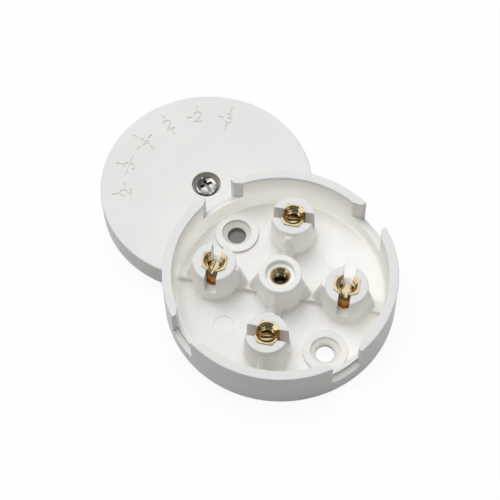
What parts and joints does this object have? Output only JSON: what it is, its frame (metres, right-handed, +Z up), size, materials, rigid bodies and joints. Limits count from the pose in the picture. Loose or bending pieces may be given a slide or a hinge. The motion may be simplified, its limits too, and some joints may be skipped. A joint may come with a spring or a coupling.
{
  "type": "junction box",
  "caption": "Round moulded junction box with slotted brass terminals, shown open, its base leaning on its screw-on lid.",
  "frame": {"origin": "on the table, under the middle of the bounding box", "axes": "+Z up from the table, +Y from the base towards the lid, +X to the right seen from the base"},
  "size_m": [0.089, 0.1482, 0.0364],
  "materials": {
    "white_moulding": "satin",
    "terminal_brass": "machined",
    "nickel_plate": "bright nickel plate"
  },
  "bodies": {
    "box": {"base_moulding": "white_moulding", "terminal_pillar_left": "terminal_brass", "terminal_pillar_top": "terminal_brass", "terminal_pillar_right": "terminal_brass", "terminal_pillar_bottom": "terminal_brass", "lid_thread_insert": "terminal_brass", "lid_moulding": "white_moulding"},
    "screw_right": {"terminal_screw_right": "terminal_brass"},
    "screw_top": {"terminal_screw_top": "terminal_brass"},
    "screw_left": {"terminal_screw_left": "terminal_brass"},
    "screw_bottom": {"terminal_screw_bottom": "terminal_brass"},
    "lid_screw_body": {"lid_screw": "nickel_plate"}
  },
  "joints": [
    {"name": "terminal_screw_right_turn", "type": "hinge", "parent": "box", "child": "screw_right", "pos_m": [0.01894, -0.04625, 0.01989], "axis": [0, -0.1898, 0.9818], "range_deg": [-250, 1080]},
    {"name": "terminal_screw_top_turn", "type": "hinge", "parent": "box", "child": "screw_top", "pos_m": [0.01693, -0.01104, 0.0267], "axis": [0, -0.1898, 0.9818], "range_deg": [-250, 1080]},
    {"name": "terminal_screw_left_turn", "type": "hinge", "parent": "box", "child": "screw_left", "pos_m": [-0.01894, -0.013, 0.02632], "axis": [0, -0.1898, 0.9818], "range_deg": [-250, 1080]},
    {"name": "terminal_screw_bottom_turn", "type": "hinge", "parent": "box", "child": "screw_bottom", "pos_m": [-0.01693, -0.04822, 0.01951], "axis": [0, -0.1898, 0.9818], "range_deg": [-250, 1080]},
    {"name": "lid_screw_turn", "type": "hinge", "parent": "box", "child": "lid_screw_body", "pos_m": [0, 0.03076, 0.01706], "axis": [0, -0.1857, 0.9826], "continuous": true}
  ]
}
